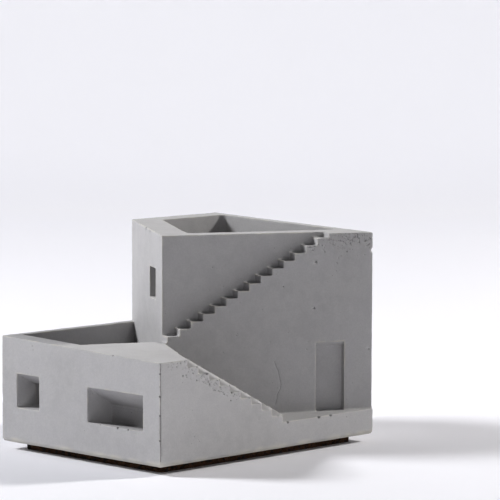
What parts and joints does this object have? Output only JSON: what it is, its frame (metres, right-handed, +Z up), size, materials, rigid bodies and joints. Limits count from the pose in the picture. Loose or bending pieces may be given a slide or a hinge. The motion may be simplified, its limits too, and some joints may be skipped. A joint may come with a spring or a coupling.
{
  "type": "desk pen holder",
  "caption": "Cast concrete desk organiser shaped like a small building, with a deep pen cup in the tower, an open tray, outside stairs and recessed windows.",
  "frame": {"origin": "centre of the footprint, on the underside of the base pad", "axes": "+Z up, +X along the long front face toward the end with the tower, +Y from the front face with the two stairs toward the back"},
  "size_m": [0.105, 0.0804, 0.0772],
  "materials": {
    "concrete": "matt cast concrete with small air pits and worn edges",
    "pad": "matt fine-grained dark brown",
    "adhesive": "satin double-sided film"
  },
  "bodies": {
    "root": {"concrete_body": "concrete", "base_pad": "pad", "pad_adhesive": "adhesive"}
  },
  "joints": []
}
